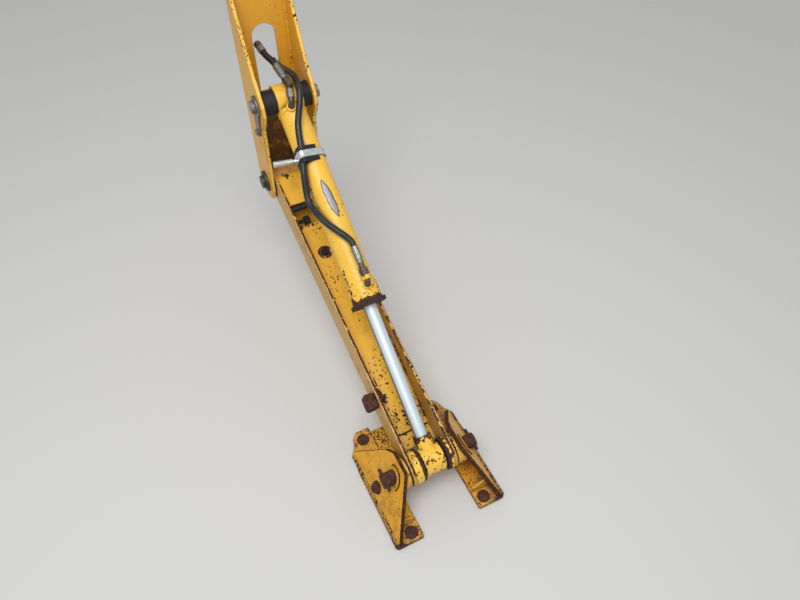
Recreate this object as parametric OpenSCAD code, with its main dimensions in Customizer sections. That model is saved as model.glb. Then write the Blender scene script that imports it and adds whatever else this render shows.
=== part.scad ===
// Stabilizer leg of a backhoe loader, right-hand side, with the frame bracket that carries it.
// X runs outboard, Y forward, Z up. The frame face is the plane X = 0 and the leg pivot is at Z = 0.

/* [Layout] */
// distance of the leg pivot from the frame face
pivot_out = 90; // [85:1:120]
// distance of the upper pin outboard of the leg pivot
ram_out = 65; // [40:1:90]
// height of the upper pin over the leg pivot
ram_up = 378; // [340:1:420]
// distance of the cylinder forward of the leg's middle plane
ram_side = 8; // [0:1:10]
// length of the leg, pivot to foot pin
leg_len = 1228; // [1100:1:1400]
// angle of the leg below level
leg_droop = 16.2; // [5:0.1:25]

/* [Bracket] */
// thickness of the two cheeks
cheek_t = 13; // [10:1:20]
// clearance between the leg and each cheek
cheek_play = 5; // [3:0.5:12]
// thickness of the web
web_t = 16; // [12:1:22]
// height of the bracket over the leg pivot
web_top = 740; // [700:5:800]
// depth of the bracket below the leg pivot
web_low = 75; // [60:1:120]
// outboard reach of a cheek past the upper pin
cheek_reach = 60; // [50:1:90]
// width of a cheek along its top edge
cheek_head = 26; // [20:1:60]
// width of the hose slot
slot_w = 84; // [60:1:110]
// height of the bottom of the hose slot
slot_low = 330; // [250:5:450]
// height of the top of the hose slot
slot_top = 582; // [500:1:650]
// diameter of the upper pin
ram_pin_d = 45; // [35:1:55]
// diameter of the leg pivot pin
leg_pin_d = 50; // [40:1:60]
// length of either pin past its cheek
pin_proud = 22; // [12:1:30]
// thickness of the flag that keeps the upper pin from turning
keeper_t = 8; // [5:1:12]
// distance from the upper pin to the bolt of its flag
keeper_low = 118; // [90:1:130]
// distance of that bolt inboard of the upper pin
keeper_back = 22; // [0:1:40]

/* [Leg] */
// width of the leg over its side plates
leg_w = 164; // [150:1:180]
// depth of the side plates
leg_deep = 112; // [100:1:130]
// thickness of the side plates and the top plate
leg_t = 12; // [8:1:16]
// depth of the top plate below the edges of the side plates
leg_sunk = 60; // [10:1:70]
// distance from the pivot to the inboard end of the top plate
top_start = 236; // [200:1:300]
// distance from the foot pin to the outboard end of the top plate
top_end = 398; // [350:1:450]
// distance from the foot pin to the low end of the ramp
ramp_end = 118; // [90:1:150]
// thickness of the bottom plate
floor_t = 10; // [8:1:14]
// distance from the pivot to the outboard end of the cover plate
cover_end = 165; // [140:1:190]
// diameter of the bosses at the foot
boss_d = 112; // [90:1:120]
// diameter of the foot pin
foot_pin_d = 50; // [40:1:60]
// clearance between the rod eye and each foot boss
boss_play = 5; // [2:0.5:8]
// distance from the foot pin to the middle of the lock block
block_at = 253; // [200:1:320]
// size of the square lock block
block_w = 60; // [40:1:70]
// height of the lock block off the side plate
block_proud = 42; // [30:1:50]
// distance from the pivot to the plug in the top plate
plug_at = 372; // [280:1:400]
// distance of the plug to the rear of the leg's middle
plug_side = 12; // [0:1:30]
// diameter of the hole for the plug
plug_d = 34; // [24:1:44]

/* [Cylinder] */
// outside diameter of the barrel
tube_d = 96; // [88:1:110]
// wall of the barrel
tube_wall = 8; // [6:0.5:12]
// distance from the upper pin to the end of the gland
barrel_len = 772; // [700:1:800]
// outside diameter of the gland
gland_d = 106; // [98:1:112]
// length of the gland with its flange
gland_len = 75; // [60:1:100]
// thickness of the square flange at the gland's end
flange_t = 15; // [12:1:26]
// diameter of the chromed rod
rod_d = 45; // [35:1:55]
// length of the piston
piston_len = 60; // [40:1:80]
// width of the base eye
eye_w = 90; // [70:1:110]
// outside diameter of the base eye
eye_d = 104; // [80:1:110]
// outside diameter of the rubber rings beside the base eye
spacer_d = 84; // [70:1:90]
// width of the rod eye
rod_eye_w = 76; // [60:1:80]
// outside diameter of the rod eye
rod_eye_d = 96; // [80:1:110]
// bare end of the rod, measured from the foot pin
rod_bare = 84; // [70:1:110]
// distance from the upper pin to the hose clamp
clamp_at = 225; // [180:1:300]
// thickness of the rubber under the clamp band
clamp_rubber = 3; // [2:0.5:8]
// width of the clamp band
band_w = 24; // [18:1:30]
// thickness of the clamp band
band_t = 2.5; // [1.5:0.5:4]
// diameter of the hoses
hose_d = 22; // [16:1:24]

/* [Foot] */
// height of the foot pin over the ground
foot_high = 142; // [130:1:170]
// thickness of the ground plates
shoe_t = 15; // [10:1:20]
// reach of the ground plates outboard of the foot pin
shoe_tip = 180; // [150:1:210]
// reach of the ground plates inboard of the foot pin
shoe_heel = 264; // [240:1:300]
// distance of an ear's foot from the leg's side
ear_out = 116; // [100:1:140]
// distance from the middle plane to the inner edge of a ground plate
shoe_in = 106; // [100:1:120]
// thickness of the leaning ears
ear_t = 14; // [10:1:20]
// lean of the ears off upright
ear_lean = 25.5; // [15:0.1:30]
// step from the outer edge of a ground plate to the foot of its ear
ear_step = 9; // [4:1:20]
// height of an ear along its slope
ear_tall = 207; // [190:1:230]
// reach of the ears inboard of the foot pin
ear_heel = 194; // [160:1:220]
// diameter of the plain hole low in each ear
ear_hole_d = 28; // [18:1:34]
// outside diameter of the collars on the ears
collar_d = 104; // [80:1:120]
// diameter of the holes in the ground plates
shoe_hole_d = 36; // [20:1:40]
// width of the plate that ties the two ground plates together
tie_w = 110; // [80:1:140]

/* [Hidden] */
$fn = 48;
// running clearance on diameter between a pin and its bore
run = 0.1;
// clearance between round faces that only rest together
rest = 0.3;
// overlap of a cutting shape past the faces it cuts
cut = 1;

leg_side = leg_w / 2;
leg_in = leg_side - leg_t;
leg_half = leg_deep / 2;
top_face = leg_half - leg_sunk;
floor_face = floor_t - leg_half;
cheek_in = leg_side + cheek_play;
cheek_out = cheek_in + cheek_t;
ram_x = pivot_out + ram_out;
foot_x = pivot_out + leg_len * cos(leg_droop);
foot_z = -leg_len * sin(leg_droop);
ram_len = norm([foot_x - ram_x, foot_z - ram_up]);
ram_droop = atan2(ram_up - foot_z, foot_x - ram_x);
tube_bore = tube_d - 2 * tube_wall;
// where the barrel's tube starts, past the base
tube_start = eye_d / 2 + 10;
gland_start = barrel_len - gland_len;
chrome_end = ram_len - rod_bare;
// inner end of the piston, measured from the upper pin as photographed
piston_at = 530;
// outer faces of the leg's foot bosses on the two sides of the rod eye
boss_rear = ram_side - rod_eye_w / 2 - boss_play;
boss_front = ram_side + rod_eye_w / 2 + boss_play;
shoe_low = -foot_high;
shoe_top = shoe_low + shoe_t;
ear_foot = leg_side + ear_out;
shoe_out = ear_foot + ear_step;
// distance of an ear's outer face from the middle plane, level with the foot pin
ear_at_pin = ear_foot - (foot_high - shoe_t) * tan(ear_lean);
foot_pin_out = ear_at_pin + 36;
// foot of the inner face of an ear, where the cross ribs end
rib_out = ear_foot - ear_t / cos(ear_lean);

// holes in one ground plate: distance outboard of the foot pin, distance from the middle plane
HOLE_X = 0;
HOLE_Y = 1;
shoe_holes = [
    [-227, 142],
    [150, 139],
];

// hose fittings on the cylinder: distance from the upper pin, distance forward, height of the elbow
port_stem = 20;
// height of the weld bead at the barrel's base
bead = 3;
base_port_at = [54, -9];
rod_port_at = [gland_start + 9, 6];
elbow_high = 79;
rod_elbow_high = 78;
// ends of the base hose's sleeve: distance from the upper pin, distance forward, height
base_sleeve = [[-34, 1, 74], [-94, -9, 62]];
// ends of the rod hose's sleeve
rod_sleeve = [for (back = [70, 130]) [rod_port_at[0] - back, rod_port_at[1], rod_elbow_high]];
sleeve_d = hose_d + 4;
// middle of the rod hose in the clamp, forward of the cylinder's middle and over it
saddle_at = -35;
saddle_up = 51;
// the hoses' other fittings lie in the slot: outer end of the nut, end of the sleeve
slot_base = [[6, -26, 512], [48, -20, 501.5]];
slot_rod = [[6, 20, 437], [48, 25, 440]];
// share of such a fitting that is its nut
nut_share = 0.36;

// round points along the two hoses between their fittings: outboard, forward, up
hose_base_points = [
    [63.4, -17.8, 497.7],
    [79, -11.5, 492.3],
    [95, -5, 486.8],
];
hose_rod_rise = [
    [64.4, 27, 441.2],
    [110, 34, 452],
    [168, 39, 463],
];
// the same along the cylinder: distance from the upper pin, forward, height
hose_rod_run = [
    [16, 27, 99],
    [62, 14, 92],
    [123, -13, 67],
    [180, -27, 57],
    [clamp_at, saddle_at, saddle_up],
];
// and on from the clamp: share of the way to the sleeve, forward, height
hose_rod_end = [
    [0.17, -52, 37],
    [0.40, -65, 12],
    [0.55, -59, 28],
    [0.68, -45, 45],
    [0.78, -26, 57],
    [0.87, -7, 67],
    [0.94, 4, 76],
];
hose_sides = 10;
hose_steps = 3;
// gap between a hose and its fitting in the slot, and the straight start of the hose
hose_gap = 0.4;
hose_lead = 8;

// point given along the cylinder, forward of its middle and over it
function from_ram(p) = [
    ram_x + p[0] * cos(ram_droop) + p[2] * sin(ram_droop),
    ram_side + p[1],
    ram_up - p[0] * sin(ram_droop) + p[2] * cos(ram_droop),
];

// a point straight out of a hose's fitting in the slot
function past(ends, far) = ends[1] + unit(ends[1] - ends[0]) * far;

hose_base_route = concat(
    [past(slot_base, hose_gap), past(slot_base, hose_lead)],
    hose_base_points,
    [from_ram(base_sleeve[1])]
);
hose_rod_route = concat(
    [past(slot_rod, hose_gap), past(slot_rod, hose_lead)],
    hose_rod_rise,
    [for (point = hose_rod_run) from_ram(point)],
    [for (point = hose_rod_end)
        from_ram([clamp_at + point[0] * (rod_sleeve[1][0] - clamp_at), point[1], point[2]])],
    [from_ram(rod_sleeve[1])]
);

// frame of the leg: X along it, from the pivot
module on_leg() {
    translate([pivot_out, 0, 0])
        rotate([0, leg_droop, 0])
            children();
}

// frame of the cylinder: X along it, from the upper pin
module on_ram() {
    translate([ram_x, ram_side, ram_up])
        rotate([0, ram_droop, 0])
            children();
}

// frame of the foot, at the foot pin
module on_foot() {
    translate([foot_x, 0, foot_z])
        children();
}

// plate of the given outline in X and Z, from one side towards +Y
module slab(from, thick) {
    translate([0, from + thick, 0])
        rotate([90, 0, 0])
            linear_extrude(thick)
                children();
}

// round bar along Y
module bar_y(from, len, d) {
    translate([0, from + len, 0])
        rotate([90, 0, 0])
            cylinder(h = len, d = d);
}

// round bar along X
module bar_x(from, len, d) {
    translate([from, 0, 0])
        rotate([0, 90, 0])
            cylinder(h = len, d = d);
}

// ring along Y
module ring_y(from, len, outer, inner) {
    difference() {
        bar_y(from, len, outer);
        bar_y(from - cut, len + 2 * cut, inner);
    }
}

// round or hexagonal bar between two points
module bar_between(a, b, d, sides = 32) {
    step = b - a;
    len = norm(step);
    translate(a)
        rotate([0, acos(step[2] / len), atan2(step[1], step[0])])
            cylinder(h = len, d = d, $fn = sides);
}

// outline with its outer corners rounded
module soft(r) {
    offset(r)
        offset(-r)
            children();
}

// outline of the two cheeks: broad at the upper pin, narrow towards the top
module cheek_outline() {
    nose = ram_x + cheek_reach;
    waist = ram_x + 12;
    polygon([
        [web_t, -web_low],
        [pivot_out + 8, -web_low],
        [pivot_out + 42, -web_low + 16],
        [pivot_out + 64, -10],
        [waist, ram_up - 180],
        [waist + 6, ram_up - 90],
        [nose - 14, ram_up - 46],
        [nose, ram_up - 14],
        [nose - 4, ram_up + 22],
        [nose - 28, ram_up + 60],
        [ram_x, ram_up + 98],
        [cheek_head, web_top],
        [web_t, web_top],
    ]);
}

module cheek(from) {
    difference() {
        slab(from, cheek_t)
            cheek_outline();
        translate([pivot_out, 0, 0])
            bar_y(from - cut, cheek_t + 2 * cut, leg_pin_d);
        translate([ram_x, 0, ram_up])
            bar_y(from - cut, cheek_t + 2 * cut, ram_pin_d);
    }
}

module bracket_web() {
    color("#c9941c")
        difference() {
            translate([0, -cheek_out, -web_low])
                cube([web_t, 2 * cheek_out, web_top + web_low]);
            translate([-cut, -slot_w / 2, slot_low])
                cube([web_t + 2 * cut, slot_w, slot_top - slot_w / 2 - slot_low]);
            translate([0, 0, slot_top - slot_w / 2])
                bar_x(-cut, web_t + 2 * cut, slot_w);
        }
}

module bracket_rear_cheek() {
    color("#dba21e")
        cheek(-cheek_out);
}

module bracket_front_cheek() {
    color("#dba21e")
        cheek(cheek_in);
}

module upper_pin() {
    color("#5f554c")
        translate([ram_x, 0, ram_up])
            bar_y(-cheek_out - pin_proud, 2 * (cheek_out + pin_proud), ram_pin_d);
}

// flag that stops the upper pin from turning, bolted to the rear cheek below the pin
module upper_pin_keeper() {
    end_d = 34;
    color("#6f6152")
        translate([ram_x, 0, ram_up])
            difference() {
                union() {
                    slab(-cheek_out - keeper_t, keeper_t) {
                        circle(d = ram_pin_d + 26);
                        polygon([
                            [-keeper_back - end_d / 2, -keeper_low],
                            [end_d / 2 - keeper_back, -keeper_low],
                            [26, 0],
                            [-26, 0],
                        ]);
                        translate([-keeper_back, -keeper_low])
                            circle(d = end_d);
                    }
                    translate([-keeper_back, 0, -keeper_low])
                        bar_y(-cheek_out - keeper_t - 8, 9, 22);
                }
                bar_y(-cheek_out - keeper_t - cut, keeper_t + 2 * cut, ram_pin_d);
            }
}

module leg_pin() {
    color("#5f554c")
        translate([pivot_out, 0, 0])
            bar_y(-cheek_out - pin_proud, 2 * (cheek_out + pin_proud), leg_pin_d);
}

module leg_pin_collars() {
    color("#7d6748")
        translate([pivot_out, 0, 0])
            for (from = [-cheek_out - 10, cheek_out])
                ring_y(from, 10, leg_pin_d + 30, leg_pin_d);
}

// black rubber rings that fill the gap between the base eye and the cheeks
module eye_spacers() {
    rear = ram_side - eye_w / 2;
    front = ram_side + eye_w / 2;
    color("#1b1a19")
        translate([ram_x, 0, ram_up]) {
            ring_y(rest - cheek_in, cheek_in + rear - 2 * rest, spacer_d, ram_pin_d + run);
            ring_y(front + rest, cheek_in - front - 2 * rest, spacer_d, ram_pin_d + run);
        }
}

// outline of the two side plates: round heel at the pivot, round nose at the foot pin
module leg_outline() {
    circle(d = leg_deep);
    translate([leg_len, 0])
        circle(d = boss_d);
    polygon([
        [0, -leg_half],
        [leg_len - block_at + 30, -leg_half],
        [leg_len - 20, 8 - boss_d / 2],
        [leg_len, boss_d / 2],
        [leg_len - block_at + 30, leg_half],
        [0, leg_half],
    ]);
}

module leg_side_plate(from) {
    on_leg()
        difference() {
            slab(from, leg_t)
                leg_outline();
            bar_y(from - cut, leg_t + 2 * cut, leg_pin_d + run);
            translate([leg_len, 0, 0])
                bar_y(from - cut, leg_t + 2 * cut, foot_pin_d);
        }
}

module leg_rear_side() {
    color("#c79a35")
        leg_side_plate(-leg_side);
}

module leg_front_side() {
    color("#c79a35")
        leg_side_plate(leg_in);
}

// top plate, sunk between the side plates so that the cylinder folds into the leg
module leg_top_plate() {
    color("#dea829")
        on_leg()
            difference() {
                translate([top_start, -leg_in, top_face - leg_t])
                    cube([leg_len - top_end - top_start, 2 * leg_in, leg_t]);
                translate([plug_at, -plug_side, top_face - leg_t - cut])
                    cylinder(h = leg_t + 2 * cut, d = plug_d);
            }
}

module leg_ramp() {
    near = leg_len - top_end;
    far = leg_len - ramp_end;
    color("#d39d25")
        on_leg()
            slab(-leg_in, 2 * leg_in)
                polygon([
                    [near, top_face - leg_t],
                    [far - 60, floor_face],
                    [far, floor_face],
                    [near, top_face],
                ]);
}

module leg_bottom_plate() {
    color("#b98b2e")
        on_leg()
            translate([leg_pin_d, -leg_in, -leg_half])
                cube([leg_len - boss_d / 2 - 10 - leg_pin_d, 2 * leg_in, floor_t]);
}

// slanted plate that closes the leg above its pivot
module leg_cover_plate() {
    color("#e2ab2b")
        on_leg()
            slab(-leg_in, 2 * leg_in)
                polygon([
                    [30, leg_half - 18],
                    [44, leg_half - 14],
                    [cover_end, leg_half - 22],
                    [cover_end, leg_half - 12],
                    [42, leg_half - 3],
                    [26, leg_half - 8],
                ]);
}

module leg_stop_bar() {
    color("#191817")
        on_leg()
            translate([cover_end + 16, 0, leg_half - 18])
                bar_y(-leg_in, 2 * leg_in, 22);
}

module leg_pivot_tube() {
    color("#b98b2e")
        on_leg()
            ring_y(-leg_in, 2 * leg_in, leg_deep - 2 * floor_t - 1, leg_pin_d + run);
}

module leg_foot_bosses() {
    color("#cf9f3a")
        on_leg()
            translate([leg_len, 0, 0]) {
                ring_y(-leg_in, leg_in + boss_rear, boss_d, foot_pin_d);
                ring_y(boss_front, leg_in - boss_front, boss_d, foot_pin_d);
            }
}

module leg_lock_block() {
    color("#5d3c30")
        on_leg()
            translate([leg_len - block_at - block_w / 2, -leg_side - block_proud, leg_half - 4 - block_w])
                cube([block_w, block_proud, block_w]);
}

// end of the block's bolt, with its nut, inside the leg
module leg_block_stud() {
    color("#5d3c30")
        on_leg()
            translate([leg_len - block_at, -leg_in, leg_half - 4 - block_w / 2]) {
                rotate([-90, 0, 0])
                    cylinder(h = 8, d = 30, $fn = 6);
                rotate([-90, 0, 0])
                    cylinder(h = 16, d = 16);
            }
}

module leg_plug() {
    plug_head = 24;
    color("#463028")
        on_leg()
            translate([plug_at, -plug_side, top_face - leg_t]) {
                cylinder(h = leg_t, d = plug_d - rest);
                rotate([0, 0, 20])
                    translate([-plug_head / 2, -plug_head / 2, leg_t / 2])
                        cube([plug_head, plug_head, leg_t / 2 + 14]);
            }
}

// the two ends of the foot pin, held in the leg's bosses
module foot_pin_ends() {
    color("#5f4d42")
        on_leg()
            translate([leg_len, 0, 0]) {
                bar_y(-foot_pin_out, foot_pin_out + boss_rear, foot_pin_d);
                bar_y(boss_front, foot_pin_out - boss_front, foot_pin_d);
            }
}

module foot_thrust_rings() {
    color("#6b5138")
        on_leg()
            translate([leg_len, 0, 0])
                for (from = [-leg_side - 4, leg_side])
                    ring_y(from, 4, boss_d - 22, foot_pin_d);
}

module barrel_tube() {
    color("#e0a722")
        on_ram()
            difference() {
                bar_x(tube_start, gland_start - tube_start, tube_d);
                bar_x(tube_start - cut, gland_start - tube_start + 2 * cut, tube_bore);
            }
}

// base of the cylinder: eye, neck and the weld where the tube starts
module barrel_base() {
    color("#d9a020")
        on_ram()
            difference() {
                union() {
                    bar_y(-eye_w / 2, eye_w, eye_d);
                    bar_x(0, tube_start - 14, eye_w - 14);
                    bar_x(tube_start - 16, 16, tube_d);
                    translate([tube_start - 4, 0, 0])
                        rotate([0, 90, 0])
                            rotate_extrude()
                                translate([tube_d / 2, 0])
                                    circle(d = 2 * bead, $fn = 16);
                }
                bar_y(-eye_w / 2 - cut, eye_w + 2 * cut, ram_pin_d + run);
                bar_x(tube_start, tube_d, 2 * tube_d);
            }
}

module gland_head() {
    color("#d9a020")
        on_ram()
            difference() {
                bar_x(gland_start, gland_len - flange_t, gland_d);
                bar_x(gland_start - cut, gland_len, tube_bore);
            }
}

// square flange with cut corners that closes the gland round the rod
module gland_flange() {
    wide = gland_d / 2 + 3;
    corner = wide - 22;
    color("#6d4a30")
        on_ram()
            difference() {
                translate([barrel_len - flange_t, 0, 0])
                    rotate([0, 90, 0])
                        linear_extrude(flange_t)
                            polygon([
                                [-corner, -wide], [corner, -wide], [wide, -corner], [wide, corner],
                                [corner, wide], [-corner, wide], [-wide, corner], [-wide, -corner],
                            ]);
                bar_x(barrel_len - flange_t - cut, flange_t + 2 * cut, rod_d + run);
            }
}

module base_elbow() {
    seat = [base_port_at[0], base_port_at[1], eye_d / 2 - 20];
    corner = [base_port_at[0], base_port_at[1], elbow_high];
    start = base_sleeve[0];
    back = start + (start - base_sleeve[1]) * 0.55;
    color("#8b8375")
        on_ram()
            difference() {
                union() {
                    bar_between(seat, seat + [0, 0, 36], 34, 6);
                    bar_between(seat, corner, port_stem);
                    bar_between(corner - [0, 0, 12], corner + [0, 0, 12], port_stem + 4);
                    bar_between(corner, (back + start) / 2, port_stem);
                    bar_between(back, start, 30, 6);
                }
                bar_y(-eye_w / 2 - cut, eye_w + 2 * cut, eye_d + rest);
                bar_x(0, tube_d, tube_d + 2 * bead + rest);
            }
}

module rod_elbow() {
    seat = [rod_port_at[0], rod_port_at[1], gland_d / 2 - 12];
    corner = [rod_port_at[0], rod_port_at[1], rod_elbow_high];
    start = rod_sleeve[0];
    adapter = start + (corner - start) * 0.62;
    nut = start + (corner - start) * 0.24;
    color("#d9a020")
        on_ram()
            difference() {
                union() {
                    bar_between(seat, seat + [0, 0, 22], 36);
                    bar_between(seat, corner, port_stem);
                    bar_between(corner - [0, 0, 13], corner + [0, 0, 12], port_stem + 8);
                    bar_between(corner, start, port_stem - 2);
                    bar_between(adapter, adapter + (corner - start) * 0.18, 30, 6);
                    bar_between(nut, nut + (corner - start) * 0.34, 32, 6);
                }
                bar_x(gland_start - tube_d, barrel_len, gland_d + rest);
            }
}

// outline inside the clamp band: round the barrel and over the hose
module band_inner() {
    hull() {
        circle(d = tube_d + 2 * clamp_rubber);
        translate([saddle_at, saddle_up])
            circle(d = hose_d + 2 * clamp_rubber);
    }
}

module clamp_band() {
    color("#b3b5b6")
        on_ram()
            slab_x(clamp_at - band_w / 2, band_w)
                difference() {
                    offset(band_t + rest / 2)
                        band_inner();
                    offset(rest / 2)
                        band_inner();
                }
}

// rubber saddle that guides the rod hose under the band
module clamp_saddle() {
    long = band_w + 32;
    color("#1b1b1b")
        on_ram()
            slab_x(clamp_at - long / 2, long)
                difference() {
                    band_inner();
                    circle(d = tube_d + rest);
                    translate([20, -tube_d])
                        square(2 * tube_d);
                    translate([saddle_at, saddle_up])
                        circle(d = hose_d + rest);
                }
}

// plate of the given outline in Y and Z, from one end towards +X
module slab_x(from, thick) {
    translate([from, 0, 0])
        rotate([90, 0, 90])
            linear_extrude(thick)
                children();
}

// tube nut that draws the band tight, reaching out to the rear
module clamp_bolt() {
    head = [clamp_at - 7, -132, 20];
    foot = [clamp_at + 3, -40, 14];
    color("#b9bbbd")
        on_ram()
            difference() {
                union() {
                    bar_between(foot, head, 15);
                    bar_between(head + (foot - head) * 0.7, head, 21);
                }
                slab_x(clamp_at - 40, 80)
                    offset(band_t + rest)
                        band_inner();
            }
}

module rod() {
    color("#dfe3e6")
        on_ram() {
            bar_x(piston_at, chrome_end - piston_at, rod_d);
            bar_x(piston_at, piston_len, tube_bore - run);
        }
}

module rod_eye() {
    color("#d9a32a")
        on_ram()
            difference() {
                union() {
                    translate([ram_len, 0, 0])
                        bar_y(-rod_eye_w / 2, rod_eye_w, rod_eye_d);
                    bar_x(chrome_end, rod_bare - foot_pin_d / 2, rod_d + 17);
                }
                translate([ram_len, 0, 0])
                    bar_y(-rod_eye_w / 2 - cut, rod_eye_w + 2 * cut, foot_pin_d);
            }
}

module rod_pin_core() {
    color("#5f4d42")
        on_foot()
            bar_y(ram_side - rod_eye_w / 2, rod_eye_w, foot_pin_d);
}

// point on the smooth curve through four neighbours
function curve(a, b, c, d, t) =
    0.5 * (2 * b + (c - a) * t + (2 * a - 5 * b + 4 * c - d) * t * t
        + (3 * b - a - 3 * c + d) * t * t * t);

// route with steps between its points
function smooth(p) = [
    for (i = [0 : len(p) - 2])
        for (k = [0 : hose_steps - 1])
            curve(p[max(i - 1, 0)], p[i], p[i + 1], p[min(i + 2, len(p) - 1)], k / hose_steps),
    p[len(p) - 1],
];

function unit(v) = v / norm(v);

// one ring of points square to the route
function ring(p, i, d) =
    let (
        along = unit(p[min(i + 1, len(p) - 1)] - p[max(i - 1, 0)]),
        side = unit(cross(along, [0, 1, 0])),
        up = cross(side, along)
    )
    [for (k = [0 : hose_sides - 1])
        p[i] + d / 2 * (cos(360 * k / hose_sides) * side + sin(360 * k / hose_sides) * up)];

module hose(route, d) {
    p = smooth(route);
    n = len(p);
    s = hose_sides;
    polyhedron(
        points = [for (i = [0 : n - 1]) each ring(p, i, d)],
        faces = concat(
            [[for (k = [0 : s - 1]) k]],
            [for (i = [0 : n - 2]) for (k = [0 : s - 1])
                [i * s + k, (i + 1) * s + k, (i + 1) * s + (k + 1) % s, i * s + (k + 1) % s]],
            [[for (k = [s - 1 : -1 : 0]) (n - 1) * s + k]]
        )
    );
}

// nut and sleeve of a hose, on the side of the slot
module slot_end(ends) {
    shoulder = ends[0] + (ends[1] - ends[0]) * nut_share;
    bar_between(ends[0], shoulder, hose_d + 6, 6);
    bar_between((ends[0] + shoulder) / 2, ends[1], sleeve_d - 1);
}

module slot_fittings() {
    color("#a9a7a0") {
        slot_end(slot_base);
        slot_end(slot_rod);
    }
}

module hose_base() {
    color("#161616")
        hose(hose_base_route, hose_d);
}

module hose_base_sleeve() {
    color("#a9a7a0")
        on_ram()
            bar_between(base_sleeve[0], base_sleeve[1], sleeve_d);
}

module hose_rod() {
    color("#161616")
        hose(hose_rod_route, hose_d);
}

module hose_rod_sleeve() {
    color("#a9a7a0")
        on_ram()
            bar_between(rod_sleeve[0], rod_sleeve[1], sleeve_d);
}

// one ground plate, on the front side of the foot
module shoe() {
    on_foot()
        difference() {
            translate([0, 0, shoe_low])
                linear_extrude(shoe_t)
                    polygon([
                        [-shoe_heel, shoe_in],
                        [-shoe_heel, shoe_out - 52],
                        [20 - shoe_heel, shoe_out - 33],
                        [50 - shoe_heel, shoe_out - 24],
                        [72 - shoe_heel, shoe_out - 8],
                        [150 - shoe_heel, shoe_out],
                        [shoe_tip - 8, shoe_out],
                        [shoe_tip, shoe_out - 8],
                        [shoe_tip, shoe_in + 4],
                        [shoe_tip - 6, shoe_in],
                    ]);
            for (hole = shoe_holes)
                translate([hole[HOLE_X], hole[HOLE_Y], shoe_low - cut])
                    cylinder(h = shoe_t + 2 * cut, d = shoe_hole_d);
        }
}

module rear_shoe() {
    color("#cf9b2a")
        mirror([0, 1, 0])
            shoe();
}

module front_shoe() {
    color("#cf9b2a")
        shoe();
}

// leaning frame of an ear: its outer face is the plane Y = 0
module on_ear() {
    translate([0, ear_foot, shoe_top])
        rotate([ear_lean, 0, 0])
            children();
}

// one leaning ear, on the front side of the foot
module ear() {
    on_foot()
        difference() {
            on_ear()
                slab(-ear_t, ear_t)
                    polygon([
                        [-ear_heel, -ear_t],
                        [shoe_tip - 6, -ear_t],
                        [shoe_tip - 6, 4],
                        [38, ear_tall - 5],
                        [28, ear_tall],
                        [-50, ear_tall],
                        [-85, ear_tall - 28],
                        [-ear_heel, 11],
                    ]);
            bar_y(0, shoe_out, foot_pin_d + run);
            on_ear()
                translate([-26, 0, 41])
                    bar_y(-2 * ear_t, 3 * ear_t, ear_hole_d);
            translate([-shoe_heel, 0, shoe_low - ear_t])
                cube([shoe_heel + shoe_tip, shoe_out + ear_t, shoe_t + ear_t]);
        }
}

module rear_ear() {
    color("#d7a127")
        mirror([0, 1, 0])
            ear();
}

module front_ear() {
    color("#d7a127")
        ear();
}

module ear_collar() {
    start = leg_side + 5;
    difference() {
        bar_y(start, ear_at_pin + collar_d - start, collar_d);
        bar_y(start - cut, shoe_out, foot_pin_d + run);
        on_ear()
            translate([-collar_d, -ear_t, -collar_d])
                cube([2 * collar_d, 3 * collar_d, ear_tall + 2 * collar_d]);
    }
}

module ear_collars() {
    color("#d7a127")
        on_foot()
            for (side = [0, 1])
                mirror([0, side, 0])
                    ear_collar();
}

module shoe_tie() {
    color("#b98b2e")
        on_foot()
            translate([20 - shoe_heel, -shoe_in, shoe_low])
                cube([tie_w, 2 * shoe_in, shoe_t]);
}

module shoe_ribs() {
    near = shoe_in + 6;
    color("#cf9b2a")
        on_foot()
            for (side = [0, 1])
                mirror([0, side, 0])
                    slab_x(shoe_holes[1][HOLE_X] - shoe_hole_d / 2 - 22, 10)
                        polygon([
                            [near, shoe_top],
                            [rib_out, shoe_top],
                            [rib_out - 46 * tan(ear_lean), shoe_top + 46],
                            [near, shoe_top + 18],
                        ]);
}

bracket_web();
bracket_rear_cheek();
bracket_front_cheek();
upper_pin();
upper_pin_keeper();
leg_pin();
leg_pin_collars();
eye_spacers();
leg_rear_side();
leg_front_side();
leg_top_plate();
leg_ramp();
leg_bottom_plate();
leg_cover_plate();
leg_stop_bar();
leg_pivot_tube();
leg_foot_bosses();
leg_lock_block();
leg_block_stud();
leg_plug();
foot_pin_ends();
foot_thrust_rings();
barrel_tube();
barrel_base();
gland_head();
gland_flange();
base_elbow();
rod_elbow();
clamp_band();
clamp_saddle();
clamp_bolt();
slot_fittings();
hose_base();
hose_base_sleeve();
hose_rod();
hose_rod_sleeve();
rod();
rod_eye();
rod_pin_core();
rear_shoe();
front_shoe();
rear_ear();
front_ear();
ear_collars();
shoe_tie();
shoe_ribs();
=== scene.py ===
from math import cos, pi, radians, sin

import bpy
import numpy as np
from mathutils import Matrix, Vector


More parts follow.
